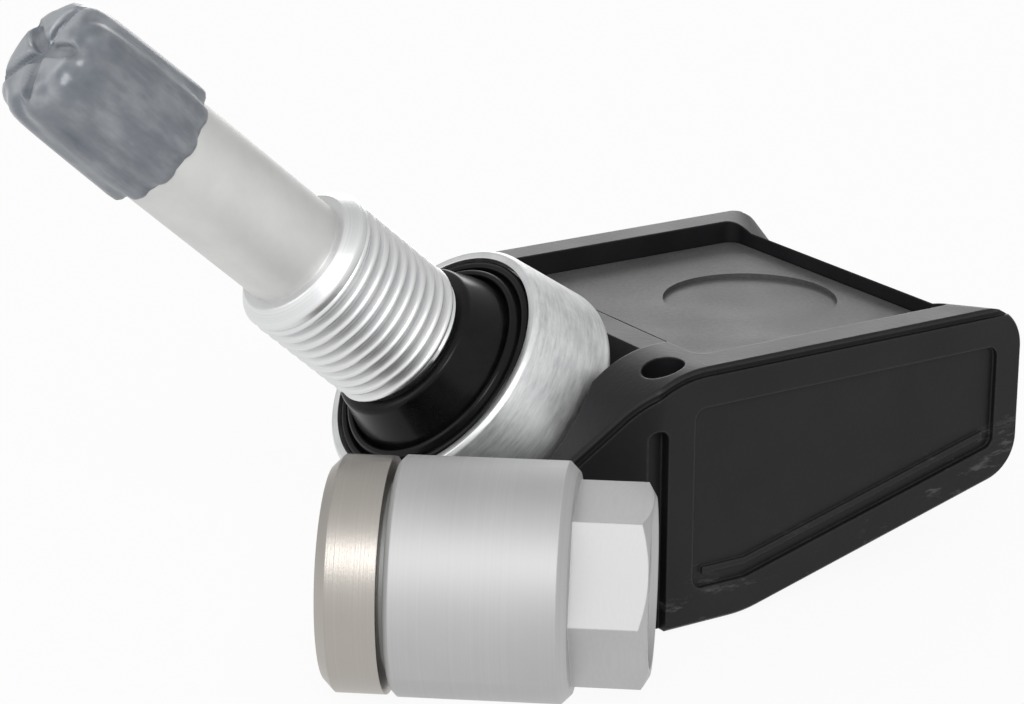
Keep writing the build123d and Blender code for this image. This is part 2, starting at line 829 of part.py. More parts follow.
# Fastening nut: turned body with a hexagon, and a collet that carries the loose washer
nut_along_x = cos(radians(nut_turn))
nut_along_y = sin(radians(nut_turn))
nut_length = washer_length + washer_gap + nut_body_length + nut_hex_length
nut_start = (
    nose_reach + nut_ahead - nut_along_x * nut_length / 2,
    half_width + nut_beside - nut_along_y * nut_length / 2,
    nut_radius,
)
nut_side = Plane(origin=nut_start, x_dir=(0, 0, 1), z_dir=(-nut_along_y, nut_along_x, 0))
nut_cross = Plane(origin=nut_start, x_dir=(0, 0, 1), z_dir=(nut_along_x, nut_along_y, 0))
nut_line = Axis(nut_start, (nut_along_x, nut_along_y, 0))
body_start = washer_length + washer_gap
body_end = body_start + nut_body_length
hex_end = body_end + nut_hex_length
hex_corner = nut_hex_flats / 2 / cos(radians(30))
hex_drop = (hex_corner - nut_hex_flats / 2) * tan(radians(nut_hex_chamfer))
lip_start = washer_recess
lip_end = lip_start - collet_lip_length
with BuildPart() as nut:
    with BuildSketch(nut_side):
        with BuildLine():
            Polyline(
                (nut_bore + nut_bore_chamfer, lip_end),
                (collet_radius + collet_lip, lip_end),
                (collet_radius + collet_lip, lip_start),
                (collet_radius, lip_start),
                (collet_radius, body_start),
                (nut_radius - nut_rear_chamfer, body_start),
                (nut_radius, body_start + nut_rear_chamfer),
                (nut_radius, body_end - nut_front_chamfer),
                (nut_radius - nut_front_chamfer, body_end),
                (nut_bore, body_end),
                (nut_bore, lip_end + nut_bore_chamfer),
                close=True,
            )
        make_face()
    revolve(axis=nut_line)
    with BuildSketch(nut_cross.offset(body_end)):
        RegularPolygon(hex_corner, 6, rotation=nut_hex_turn)
        Circle(nut_bore, mode=Mode.SUBTRACT)
    extrude(amount=nut_hex_length)
    # end of the hexagon turned to a cone, and the bore opened
    with BuildSketch(nut_side):
        with BuildLine():
            Polyline(
                (nut_hex_flats / 2, hex_end),
                (hex_corner, hex_end - hex_drop),
                (hex_corner + hex_drop, hex_end - hex_drop),
                (hex_corner + hex_drop, hex_end),
                close=True,
            )
        make_face()
        with BuildLine():
            Polyline(
                (nut_bore, hex_end),
                (nut_bore + nut_bore_chamfer, hex_end),
                (nut_bore, hex_end - nut_bore_chamfer),
                close=True,
            )
        make_face()
    revolve(axis=nut_line, mode=Mode.SUBTRACT)
nut.part.label = "nut_body"
export_step(nut.part, "parts/nut_body.step")

# Loose steel washer held on the collet by its lip
washer_bore = collet_radius + washer_running
with BuildPart() as washer:
    with BuildSketch(nut_side):
        with BuildLine():
            Polyline(
                (washer_bore + collet_lip + washer_running, 0),
                (washer_radius - washer_chamfer, 0),
                (washer_radius, washer_chamfer),
                (washer_radius, washer_length),
                (washer_bore, washer_length),
                (washer_bore, washer_recess + washer_running),
                (washer_bore + collet_lip + washer_running, washer_recess + washer_running),
                close=True,
            )
        make_face()
    revolve(axis=nut_line)
washer.part.label = "nut_washer"
export_step(washer.part, "parts/nut_washer.step")
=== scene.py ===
import math

import bmesh
import bpy
from mathutils import Matrix, Vector


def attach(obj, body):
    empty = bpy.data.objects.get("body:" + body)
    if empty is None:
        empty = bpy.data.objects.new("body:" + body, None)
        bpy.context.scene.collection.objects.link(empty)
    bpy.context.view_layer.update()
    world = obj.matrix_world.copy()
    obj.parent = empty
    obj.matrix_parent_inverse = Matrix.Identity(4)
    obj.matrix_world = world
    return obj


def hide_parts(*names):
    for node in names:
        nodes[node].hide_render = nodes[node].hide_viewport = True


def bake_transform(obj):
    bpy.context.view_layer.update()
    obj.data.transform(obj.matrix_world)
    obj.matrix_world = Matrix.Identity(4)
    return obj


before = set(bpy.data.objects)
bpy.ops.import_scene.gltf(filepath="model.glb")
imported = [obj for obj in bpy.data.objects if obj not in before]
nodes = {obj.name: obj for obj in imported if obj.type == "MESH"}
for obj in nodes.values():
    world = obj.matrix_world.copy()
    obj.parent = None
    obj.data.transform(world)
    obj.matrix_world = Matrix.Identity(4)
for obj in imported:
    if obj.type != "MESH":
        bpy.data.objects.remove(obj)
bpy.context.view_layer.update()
mm = 0.001  # sizes below are in millimetres unless a note says otherwise
weld = 1e-4  # points closer than this become one
near = 1e-3  # how far a ring's edge may lie from where it is looked for
bevelSegments = 3
bevelSamples = 6
print("frame:", len(nodes), "nodes")


def placeOn(start, across, along):
    # from millimetres with z along an axis to the shared frame
    turn = Matrix((across, along.cross(across), along)).transposed().to_4x4()
    return Matrix.Scale(mm, 4) @ Matrix.Translation(start) @ turn


# the valve's axis runs out along the stem, from the seat in the housing
valveAxis = {"seat": (0.5, 0.0, 9.4), "rise": 42.15}
rise = math.radians(valveAxis["rise"])
seat = Vector(valveAxis["seat"])
stemOut = Vector((math.cos(rise), 0, math.sin(rise)))
stemDown = Vector((math.sin(rise), 0, -math.cos(rise)))
stemPlace = placeOn(seat, stemDown, stemOut)

# the nut's axis runs from the washer's face to the hexagon
nutAxis = {"middle": (13.2, 16.55, 7.44), "turn": 141.5, "length": 19.84}
nutTurn = math.radians(nutAxis["turn"])
nutAlong = Vector((math.cos(nutTurn), math.sin(nutTurn), 0))
nutStart = Vector(nutAxis["middle"]) - nutAlong * nutAxis["length"] / 2
nutPlace = placeOn(nutStart, Vector((0, 0, 1)), nutAlong)


class Sock:
    # one output of a shader node, which sums treat as a number
    def __init__(self, tree, out):
        self.tree = tree
        self.out = out

    def work(self, operation, *others):
        terms = {f"i{place}": term for place, term in enumerate((self, *others))}
        return self.tree.add("Math", {"operation": operation}, **terms)

    def __add__(self, other):
        return self.work("ADD", other)

    __radd__ = __add__

    def __sub__(self, other):
        return self.work("SUBTRACT", other)

    def __rsub__(self, other):
        return self * -1 + other

    def __mul__(self, other):
        return self.work("MULTIPLY", other)

    __rmul__ = __mul__

    def __truediv__(self, other):
        return self.work("DIVIDE", other)

    def atLeast(self, low):
        return self.work("MAXIMUM", low)

    def atMost(self, high):
        return self.work("MINIMUM", high)

    def shared(self, share, other):
        return self * share + other * (1 - share)


class Tree:
    def __init__(self, nodeTree):
        self.nodeTree = nodeTree

    def plug(self, socket, value):
        if isinstance(value, Sock):
            self.nodeTree.links.new(value.out, socket)
        else:
            socket.default_value = value

    def add(self, kind, settings=None, output=0, **sockets):
        # a key such as i2 is a socket's place, and any other key is its name
        made = self.nodeTree.nodes.new("ShaderNode" + kind)
        for key, value in (settings or {}).items():
            if key == "stops":
                elements = made.color_ramp.elements
                while len(elements) < len(value):
                    elements.new(0.5)
                for element, (place, tone) in zip(elements, value):
                    element.position = place
                    element.color = (*tone, 1)
            else:
                setattr(made, key, value)
        for key, value in sockets.items():
            isPlace = key[0] == "i" and key[1:].isdigit()
            self.plug(made.inputs[int(key[1:]) if isPlace else key.replace("_", " ")], value)
        return Sock(self, made.outputs[output])

    def vector(self, operation, output="Vector", **sockets):
        return self.add("VectorMath", {"operation": operation}, output, **sockets)

    def seenDirectly(self):
        # 1 for what the camera sees, straight or by a mirror-like bounce
        kinds = ("Camera", "Glossy", "Transmission")
        rays = [self.add("LightPath", output=f"Is {kind} Ray") for kind in kinds]
        return sum(rays[1:], rays[0]).atMost(1.0)


class Finish(Tree):
    # a noise is its scale, detail and roughness; a bump its strength, height and softness of edges
    def __init__(self, name, **fixed):
        self.material = bpy.data.materials.new(name)
        self.material.use_nodes = True
        super().__init__(self.material.node_tree)
        self.shader = self.nodeTree.nodes["Principled BSDF"]
        for socket, value in fixed.items():
            self.feed(socket.replace("_", " "), value)

    def feed(self, socket, value):
        self.plug(self.shader.inputs[socket], value)

    def where(self):
        return self.add("TexCoord", output="Object")

    def noise(self, scale, detail, roughness, at=None):
        spot = at or self.where()
        return self.add("TexNoise", Vector=spot, Scale=scale, Detail=detail, Roughness=roughness)

    def ramp(self, value, stops):
        return self.add("ValToRGB", {"stops": stops}, Fac=value)

    def mix(self, share, first, second):
        return self.add("Mix", {"data_type": "RGBA"}, output=2, i0=share, i6=first, i7=second)

    def between(self, value, low, high):
        smooth = {"interpolation_type": "SMOOTHSTEP"}
        return self.add("MapRange", smooth, Value=value, From_Min=low, From_Max=high)

    def softNormal(self, radius):
        return self.add("Bevel", {"samples": bevelSamples}, Radius=radius * mm)

    def bump(self, relief, strength, height, soft=0.0):
        sockets = {"Height": relief, "Strength": strength, "Distance": height * mm}
        if soft:
            sockets["Normal"] = self.softNormal(soft)
        self.feed("Normal", self.add("Bump", **sockets))

    def edges(self, radius):
        # 0 on flat surfaces, rising where a sharp edge is near
        flat = self.add("NewGeometry", output="Normal")
        return 1 - self.vector("DOT_PRODUCT", "Value", i0=self.softNormal(radius), i1=flat)

    def turned(self, start, along):
        # how far along an axis a point lies, and the way out to it from there
        at = self.vector("SCALE", i0=self.where(), Scale=1 / mm)
        fromStart = self.vector("SUBTRACT", i0=at, i1=start)
        run = self.vector("DOT_PRODUCT", "Value", i0=fromStart, i1=along)
        onAxis = self.vector("SCALE", i0=along, Scale=run)
        return run, self.vector("SUBTRACT", i0=fromStart, i1=onAxis)

    def reach(self, out):
        return self.vector("LENGTH", "Value", i0=out)

    def lathe(self, run, out, density, detail, roughness):
        # fine rings round an axis, as turning leaves them
        at = self.add("CombineXYZ", X=run * density, Y=self.reach(out) * density, Z=0.0)
        return self.noise(1.0, detail, roughness, at)

    def streaks(self, run, out, along, crossing, lengthwise, detail, roughness):
        # noise that is drawn out along an axis where lengthwise is less than crossing
        around = self.vector("NORMALIZE", i0=out)
        onAxis = self.vector("SCALE", i0=along, Scale=run * lengthwise)
        at = self.vector("MULTIPLY_ADD", i0=around, i1=(crossing, crossing, crossing), i2=onAxis)
        return self.noise(1.0, detail, roughness, at)


# housing: black moulded plastic, its edges rubbed paler
blackLook = {
    "ior": 1.3,
    "grain": (2600.0, 4.0, 0.6),
    "patch": (180.0, 3.0, 0.5),
    "tones": ((0.3, (0.007, 0.0071, 0.0083)), (0.7, (0.0125, 0.0126, 0.0142))),
    "edgeReach": 0.35,
    "edgeWear": (0.02, 0.3),
    "edgeGrain": 0.9,  # share of the wear that the grain breaks up
    "edgeTone": (0.05, 0.048, 0.046, 1),
    "roughness": 0.36,
    "patchRoughness": 0.12,
    "edgeShine": 0.08,
    "bump": (0.2, 0.08, 0.14),
}
# scuffs along the housing's lower border
scuffs = {
    "bend": 7.5,  # behind this the underside rises
    "slope": 14.0,
    "fade": (2.5, 5.0),  # heights over the underside
    "lean": 0.25,  # radians
    "stretch": (0.25, 0.25, 1.0),
    "noise": (900.0, 5.0, 0.75),
    "cut": (0.57, 0.7),
    "tone": (0.1, 0.1, 0.102, 1),
    "share": 0.7,
}


def scuffMask(finish):
    across = finish.add("SeparateXYZ", output="X", Vector=finish.where())
    upright = finish.add("SeparateXYZ", output="Z", Vector=finish.where())
    behind = (across * -1 - scuffs["bend"] * mm).atLeast(0.0)
    underside = behind * math.tan(math.radians(scuffs["slope"]))
    lowBorder = 1 - finish.between((upright - underside) / mm, *scuffs["fade"])
    turn = (0, scuffs["lean"], 0)
    at = finish.add("Mapping", Vector=finish.where(), Rotation=turn, Scale=scuffs["stretch"])
    scratch = finish.between(finish.noise(*scuffs["noise"], at), *scuffs["cut"])
    return lowBorder * scratch * scuffs["share"]


def makeHousingBlack():
    finish = Finish("housingBlack", IOR=blackLook["ior"])
    grain = finish.noise(*blackLook["grain"])
    patch = finish.noise(*blackLook["patch"])
    worn = finish.between(finish.edges(blackLook["edgeReach"]), *blackLook["edgeWear"])
    paler = worn * (grain * blackLook["edgeGrain"] + (1 - blackLook["edgeGrain"]))
    rubbed = finish.mix(paler, finish.ramp(patch, blackLook["tones"]), blackLook["edgeTone"])
    finish.feed("Base Color", finish.mix(scuffMask(finish), rubbed, scuffs["tone"]))
    dull = patch * blackLook["patchRoughness"] + blackLook["roughness"]
    finish.feed("Roughness", dull - worn * blackLook["edgeShine"])
    finish.bump(grain, *blackLook["bump"])
    return finish


# cover: dull grey with a fine speckle
coverLook = {
    "ior": 1.45,
    "speckle": (3200.0, 5.0, 0.7),
    "cloud": (240.0, 3.0, 0.5),
    "speckleShare": 0.6,
    "tones": ((0.3, (0.05, 0.05, 0.052)), (0.7, (0.115, 0.115, 0.117))),
    "roughness": 0.42,
    "cloudRoughness": 0.2,
    "bump": (0.25, 0.06),
}


def makeCoverGrey():
    finish = Finish("coverGrey", IOR=coverLook["ior"])
    speckle = finish.noise(*coverLook["speckle"])
    cloud = finish.noise(*coverLook["cloud"])
    tint = speckle.shared(coverLook["speckleShare"], cloud)
    finish.feed("Base Color", finish.ramp(tint, coverLook["tones"]))
    finish.feed("Roughness", cloud * coverLook["cloudRoughness"] + coverLook["roughness"])
    finish.bump(speckle, *coverLook["bump"])
    return finish


# turned metals: lines is how strongly the turned rings show, and soft the rounding of the edges
nutLook = {"tone": (0.53, 0.535, 0.53), "density": 5.0, "lines": 0.12, "roughness": 0.52, "soft": 0.12}
washerLook = {"tone": (0.445, 0.418, 0.386), "density": 11.0, "lines": 0.35, "roughness": 0.26, "soft": 0.1}
screwLook = {"tone": (0.42, 0.42, 0.44), "density": 8.0, "lines": 0.2, "roughness": 0.3, "soft": 0.0}
brassLook = {"tone": (0.66, 0.48, 0.23), "density": 10.0, "lines": 0.2, "roughness": 0.25, "soft": 0.0}
turnedLook = {
    "rings": (4.0, 0.65),
    "stain": (160.0, 3.0, 0.5),
    "frost": (4200.0, 3.0, 0.6),
    "shade": 0.86,  # the darker end of the tones
    "places": (0.3, 0.7),
    "ringShare": 0.5,
    "unevenness": 0.1,
    "reliefShare": 0.7,
    "height": 0.04,
}


def makeTurnedMetal(name, look, start, along):
    finish = Finish(name, Metallic=1.0)
    rings = finish.lathe(*finish.turned(start, along), look["density"], *turnedLook["rings"])
    stain = finish.noise(*turnedLook["stain"])
    frost = finish.noise(*turnedLook["frost"])
    shaded = tuple(channel * turnedLook["shade"] for channel in look["tone"])
    tint = rings.shared(turnedLook["ringShare"], stain)
    stops = tuple(zip(turnedLook["places"], (shaded, look["tone"])))
    finish.feed("Base Color", finish.ramp(tint, stops))
    finish.feed("Roughness", (rings + stain) * turnedLook["unevenness"] + look["roughness"])
    relief = rings.shared(turnedLook["reliefShare"], frost)
    finish.bump(relief, look["lines"], turnedLook["height"], look["soft"])
    return finish


# valve metal: dull on the shank, brighter on the thread, scratched round the collar
stemLook = {
    "shankFrom": (23.0, 23.3),
    "collarTo": (9.2, 9.7),
    "rings": (8.0, 4.0, 0.65),
    "brush": (5.0, 4.0, 5.0, 0.7),
    "blotch": (420.0, 4.0, 0.6),
    "brushShare": 0.6,
    "bright": ((0.3, (0.67, 0.675, 0.68)), (0.7, (0.78, 0.785, 0.79))),
    "brushed": ((0.36, (0.55, 0.555, 0.565)), (0.5, (0.7, 0.705, 0.71)), (0.64, (0.84, 0.845, 0.85))),
    "dull": ((0.3, (0.65, 0.65, 0.64)), (0.7, (0.7, 0.7, 0.69))),
    "roughness": 0.34,
    "shankRoughness": 0.16,
    "ringRoughness": 0.08,
    "collarRoughness": (0.3, -0.06),  # by the streaks, and everywhere on the collar
    "ringRelief": 0.5,
    "bump": (0.25, 0.06),
}


def makeStemMetal():
    finish = Finish("stemMetal", Metallic=1.0)
    run, out = finish.turned(seat, stemOut)
    onShank = finish.between(run, *stemLook["shankFrom"])
    onCollar = 1 - finish.between(run, *stemLook["collarTo"])
    rings = finish.lathe(run, out, *stemLook["rings"])
    brush = finish.streaks(run, out, stemOut, *stemLook["brush"])
    blotch = finish.noise(*stemLook["blotch"])
    streak = brush.shared(stemLook["brushShare"], blotch)
    bright = finish.ramp(rings, stemLook["bright"])
    brushed = finish.ramp(streak, stemLook["brushed"])
    dull = finish.ramp(blotch, stemLook["dull"])
    finish.feed("Base Color", finish.mix(onShank, finish.mix(onCollar, bright, brushed), dull))
    byStreak, overall = stemLook["collarRoughness"]
    onAll = rings * stemLook["ringRoughness"] + stemLook["roughness"]
    added = onShank * stemLook["shankRoughness"] + onCollar * (streak * byStreak + overall)
    finish.feed("Roughness", onAll + added)
    relief = rings * (1 - onCollar) * stemLook["ringRelief"] + streak * onCollar
    finish.bump(relief, *stemLook["bump"])
    return finish


# cap: cloudy grey-blue plastic, glossier on its crown, with painted highlight on the top round the star and
# painted shade on the star's sunk floor
capLook = {
    "ior": 1.49,
    "coatRoughness": 0.3,
    "drawn": (5.0, 0.3, 4.0, 0.6),
    "swirl": (420.0, 3.0, 0.5),
    "sideContrast": 0.4,
    "sideTint": 0.1,
    "crownFrom": (42.8, 44.4),
    "highlightPaintedFrom": (45.0, 45.4),
    # where the crown's painted highlight and painted shade lie, and how strong they are
    "shadePaintedWithin": (3.6, 3.1),
    "paintedLightContrast": 0.14,
    "tones": ((0.34, (0.118, 0.138, 0.168)), (0.5, (0.195, 0.212, 0.238)), (0.66, (0.32, 0.34, 0.365))),
    "roughness": 0.18,
    "tintRoughness": 0.3,
    "sideCoat": 0.1,
    "crownCoat": 0.8,
    "bump": (0.3, 0.3),
}


def makeCapPlastic():
    finish = Finish("capPlastic", IOR=capLook["ior"], Coat_Roughness=capLook["coatRoughness"])
    run, out = finish.turned(seat, stemOut)
    drawn = finish.streaks(run, out, stemOut, *capLook["drawn"])
    swirl = finish.noise(*capLook["swirl"])
    onCrown = finish.between(run, *capLook["crownFrom"])
    sides = (drawn + swirl) * capLook["sideContrast"] + capLook["sideTint"]
    # painted highlight: the top of the crown round the star is made paler
    paintedHighlight = finish.between(run, *capLook["highlightPaintedFrom"])
    # painted shade: the star's sunk floor is made darker
    paintedShade = finish.between(finish.reach(out), *capLook["shadePaintedWithin"]) * (1 - paintedHighlight)
    # the crown's cloud plus its painted highlight and painted shade, which also feed roughness, coat and
    # bump
    crown = swirl + (paintedHighlight - paintedShade) * capLook["paintedLightContrast"]
    tint = sides + (crown - sides) * onCrown
    finish.feed("Base Color", finish.ramp(tint, capLook["tones"]))
    finish.feed("Roughness", tint * capLook["tintRoughness"] + capLook["roughness"])
    finish.feed("Coat Weight", onCrown * capLook["crownCoat"] + capLook["sideCoat"])
    finish.bump(tint, *capLook["bump"])
    return finish


# rubber and the small inner parts: one noise each; spread is how much it adds to the roughness
rubberLook = {
    "noise": (420.0, 4.0, 0.6),
    "tones": ((0.35, (0.003, 0.003, 0.0035)), (0.75, (0.008, 0.008, 0.009))),
    "roughness": 0.14,
    "spread": 0.14,
    "bump": (0.08, 0.1),
    "fixed": {"IOR": 1.25},
}
boardLook = {
    "noise": (900.0, 3.0, 0.5),
    "tones": ((0.3, (0.01, 0.09, 0.03)), (0.7, (0.02, 0.14, 0.05))),
    "roughness": 0.4,
}
chipLook = {
    "noise": (1500.0, 3.0, 0.5),
    "tones": ((0.3, (0.012, 0.012, 0.013)), (0.7, (0.024, 0.024, 0.026))),
    "roughness": 0.5,
}
cellLook = {
    "noise": (500.0, 4.0, 0.6),
    "tones": ((0.3, (0.55, 0.55, 0.56)), (0.7, (0.68, 0.68, 0.69))),
    "roughness": 0.2,
    "spread": 0.2,
    "fixed": {"Metallic": 1.0},
}
feltLook = {
    "noise": (2200.0, 4.0, 0.7),
    "tones": ((0.3, (0.02, 0.02, 0.021)), (0.7, (0.05, 0.05, 0.052))),
    "roughness": 0.9,
    "bump": (0.4, 0.1),
}


def makeSpeckled(name, look):
    finish = Finish(name, Roughness=look["roughness"], **look.get("fixed", {}))
    speckle = finish.noise(*look["noise"])
    finish.feed("Base Color", finish.ramp(speckle, look["tones"]))
    if "spread" in look:
        finish.feed("Roughness", speckle * look["spread"] + look["roughness"])
    if "bump" in look:
        finish.bump(speckle, *look["bump"])
    return finish


housingBlack = makeHousingBlack()
coverGrey = makeCoverGrey()
nutMetal = makeTurnedMetal("nutMetal", nutLook, nutStart, nutAlong)
washerSteel = makeTurnedMetal("washerSteel", washerLook, nutStart, nutAlong)
screwSteel = makeTurnedMetal("screwSteel", screwLook, seat, stemOut)
coreBrass = makeTurnedMetal("coreBrass", brassLook, seat, stemOut)
stemMetal = makeStemMetal()
capPlastic = makeCapPlastic()
grommetRubber = makeSpeckled("grommetRubber", rubberLook)
boardGreen = makeSpeckled("boardGreen", boardLook)
chipBlack = makeSpeckled("chipBlack", chipLook)
cellSteel = makeSpeckled("cellSteel", cellLook)
filterFelt = makeSpeckled("filterFelt", feltLook)
print("finishes made")

dressed = {
    "sensor_housing": housingBlack,
    "top_cover": coverGrey,
    "circuit_board": boardGreen,
    "coin_cell": cellSteel,
    "cell_tab_lower": cellSteel,
    "cell_tab_upper": cellSteel,
    "sensor_chip": chipBlack,
    "quartz_crystal": cellSteel,
    "wake_coil": chipBlack,
    "radio_strip": cellSteel,
    "port_filter": filterFelt,
    "valve_stem": stemMetal,
    "valve_screw": screwSteel,
    "rim_grommet": grommetRubber,
    "valve_cap": capPlastic,
    "cap_seal": grommetRubber,
    "core_barrel": coreBrass,
    "core_ring": grommetRubber,
    "core_pin": coreBrass,
    "core_washer": grommetRubber,
    "core_spring": screwSteel,
    "nut_body": nutMetal,
    "nut_washer": washerSteel,
}
for name, finish in dressed.items():
    nodes[name].data.materials.clear()
    nodes[name].data.materials.append(finish.material)
print("nodes dressed:", len(dressed))


def finishMesh(bm, name, place, finish, sharp):
    bmesh.ops.remove_doubles(bm, verts=bm.verts, dist=weld)
    bmesh.ops.recalc_face_normals(bm, faces=bm.faces)
    if bm.calc_volume(signed=True) < 0:  # a thread can come out of that inside out
        bmesh.ops.reverse_faces(bm, faces=bm.faces)
    bmesh.ops.transform(bm, matrix=place, verts=bm.verts)
    mesh = bpy.data.meshes.new(name)
    bm.to_mesh(mesh)
    bm.free()
    for polygon in mesh.polygons:
        polygon.use_smooth = True
    mesh.set_sharp_from_angle(angle=math.radians(sharp))
    made = bpy.data.objects.new(name, mesh)
    bpy.context.scene.collection.objects.link(made)
    made.data.materials.append(finish.material)
    return made


def closedRing(bm, points):
    ring = [bm.verts.new((radius, 0, along)) for radius, along in points]
    return ring + [bm.edges.new(pair) for pair in zip(ring, ring[1:] + ring[:1])]


def spinRound(bm, points, steps):
    bmesh.ops.spin(
        bm, geom=closedRing(bm, points), axis=(0, 0, 1), cent=(0, 0, 0),
        angle=2 * math.pi, steps=steps, use_merge=True,
    )
    bmesh.ops.remove_doubles(bm, verts=bm.verts, dist=weld)


def spinHelix(bm, points, length, turns, stepsPerTurn):
    steps = round(turns * stepsPerTurn)
    bmesh.ops.spin(
        bm, geom=closedRing(bm, points), axis=(0, 0, 1), cent=(0, 0, 0),
        dvec=(0, 0, length / steps), angle=2 * math.pi * turns, steps=steps,
    )


def closeEnds(bm):
    bmesh.ops.holes_fill(bm, edges=[edge for edge in bm.edges if edge.is_boundary], sides=0)


def onRing(edge, radius, along):
    spots = [(math.hypot(v.co.x, v.co.y) - radius, v.co.z - along) for v in edge.verts]
    return all(abs(off) < near for spot in spots for off in spot)


def roundRings(bm, rings):
    # softens turned edges, each given by its radius, its place and the width of the rounding
    for radius, along, width in rings:
        edges = [edge for edge in bm.edges if onRing(edge, radius, along)]
        bmesh.ops.bevel(
            bm, geom=edges, offset=width, segments=bevelSegments, profile=0.5,
            affect="EDGES", material=-1,
        )


# valve stem: foot, collar, neck, blank of the thread and shank, bored from both ends
stem = {
    "steps": 128,
    "sharp": 32.0,
    "minor": 4.62,
    "profile": [
        (2.05, 0), (6.0, 0), (6.0, 2.6), (9.5, 2.6), (9.85, 2.95), (8.88, 9.25), (8.64, 9.5), (8.16, 9.5),
        (8.16, 8.5), (4.6, 8.5), (4.6, 12.7), (4.62, 12.7), (4.62, 20.9), (5.04, 21.8), (5.1, 22.25),
        (4.28, 23.1), (3.7, 23.1), (3.7, 43.1), (3.2, 43.6), (2.65, 43.6), (2.65, 37.4), (2.0, 36.8),
        (2.0, 24.6), (1.2, 24.6), (1.2, 6.5), (2.05, 6.5),
    ],
    "rounded": [
        (9.85, 2.95, 0.3), (8.88, 9.25, 0.08), (8.64, 9.5, 0.06), (8.16, 9.5, 0.06), (5.1, 22.25, 0.12),
        (4.28, 23.1, 0.1), (3.7, 43.1, 0.15),
    ],
}


def buildStem():
    bm = bmesh.new()
    spinRound(bm, stem["profile"], stem["steps"])
    roundRings(bm, stem["rounded"])
    made = finishMesh(bm, "valveStem", stemPlace, stemMetal, stem["sharp"])
    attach(made, "sensor")
    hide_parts("valve_stem")


# rolled thread on the stem
thread = {
    "start": 12.7,
    "end": 22.1,
    "crest": 5.15,
    "pitch": 0.907,
    "stepsPerTurn": 96,
    "rootSink": 0.1,  # the root lies inside the blank
    "rootLift": (0.04, 0.88),  # over the blank, and share of half the pitch
    "flank": [(0.18, 0.46), (0.06, 0.26), (0.02, 0.0)],  # below the crest, and share of half the pitch
    "runOut": (0.1, 0.9),  # height at the ends, and how fast it grows from there
    "sharp": 50.0,
}


def toothPoints(start, half):
    lift, liftShare = thread["rootLift"]
    root = [(stem["minor"] - thread["rootSink"], 1.0), (stem["minor"] + lift, liftShare)]
    rising = root + [(thread["crest"] - below, share) for below, share in thread["flank"]]
    lower = [(radius, start - half * share) for radius, share in rising]
    return lower + [(radius, start + half * share) for radius, share in reversed(rising[:-1])]


def buildThread():
    bm = bmesh.new()
    half = thread["pitch"] / 2
    start = thread["start"] - half
    turns = (thread["end"] - start) / thread["pitch"]
    spinHelix(bm, toothPoints(start, half), thread["pitch"] * turns, turns, thread["stepsPerTurn"])
    lowest, growth = thread["runOut"]
    for v in bm.verts:  # the thread runs out at both ends
        reach = math.hypot(v.co.x, v.co.y)
        lead = min(v.co.z - thread["start"], thread["end"] - v.co.z)
        limit = min(thread["crest"], stem["minor"] + lowest + lead * growth)
        limit = max(stem["minor"] - thread["rootSink"], limit)
        if reach > limit:
            v.co.x *= limit / reach
            v.co.y *= limit / reach
    closeEnds(bm)
    made = finishMesh(bm, "valveThread", stemPlace, stemMetal, thread["sharp"])
    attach(made, "sensor")


buildStem()
buildThread()
print("stem and thread done")

# grommet: flange, two beads and a cone
grommet = {
    "steps": 128,
    "sharp": 60.0,
    "profile": [
        (4.65, 8.5), (8.02, 8.5), (8.02, 9.2), (7.88, 9.42), (7.64, 9.5), (7.46, 9.4), (7.36, 9.16),
        (7.26, 9.34), (7.12, 9.7), (6.88, 9.82), (6.68, 9.7), (6.58, 9.42), (6.48, 9.66), (6.34, 10.15),
        (5.66, 11.9), (5.58, 12.3), (5.42, 12.5), (4.65, 12.55),
    ],
    "rounded": [
        (7.88, 9.42, 0.1), (7.46, 9.4, 0.08), (7.12, 9.7, 0.1), (6.68, 9.7, 0.08), (6.34, 10.15, 0.1),
        (5.58, 12.3, 0.1),
    ],
}


def buildGrommet():
    bm = bmesh.new()
    spinRound(bm, grommet["profile"], grommet["steps"])
    roundRings(bm, grommet["rounded"])
    made = finishMesh(bm, "rimGrommet", stemPlace, grommetRubber, grommet["sharp"])
    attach(made, "sensor")
    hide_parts("rim_grommet")


buildGrommet()
print("grommet done")

# cap: soft flutes along the side, a scalloped mouth and a star sunk in the crown
cap = {
    "lobes": 11,
    "stepsPerLobe": 12,
    "sharp": 75.0,
    "bore": 3.8,
    "roof": 44.3,
    "roofHole": 0.3,  # the innermost ring of the roof, closed by one face
    # radius, place along the stem, depth of the flutes, and how far they sink along the stem
    "side": [
        (3.8, 35.4, 0.0, 0.0), (4.15, 35.4, 0.26, -0.2), (4.32, 35.6, 0.34, -0.16),
        (4.35, 36.1, 0.26, -0.06), (4.33, 36.8, 0.17, 0.0), (4.31, 38.0, 0.1, 0.0),
        (4.28, 39.5, 0.08, 0.0), (4.24, 41.5, 0.1, 0.0), (4.2, 42.8, 0.14, 0.0),
        (4.16, 43.6, 0.17, 0.0), (4.1, 44.15, 0.17, 0.0), (3.98, 44.55, 0.2, 0.04),
        (3.75, 44.88, 0.17, 0.06), (3.48, 45.1, 0.1, 0.05), (3.22, 45.26, 0.04, 0.02),
    ],
    "crown": [(2.95, 45.37), (2.7, 45.43), (2.45, 45.46)],
    "top": 45.48,
    "topRadii": (2.2, 1.95, 1.7, 1.45, 1.2, 0.95, 0.7, 0.4),
    "waveShape": 1.5,  # higher gives narrower flutes and arms
}
star = {"arms": 5, "turn": 25.0, "hub": 1.3, "tip": 3.7, "wall": 0.8, "depth": 0.6}


def wave(turn, count, shift=0.0):
    return (0.5 - 0.5 * math.cos(count * turn + math.radians(shift))) ** cap["waveShape"]


def starSink(turn, radius):
    edge = star["hub"] + (star["tip"] - star["hub"]) * wave(turn, star["arms"], star["turn"])
    inside = min(max((edge - radius) / star["wall"], 0.0), 1.0)
    return star["depth"] * inside * inside * (3 - 2 * inside)


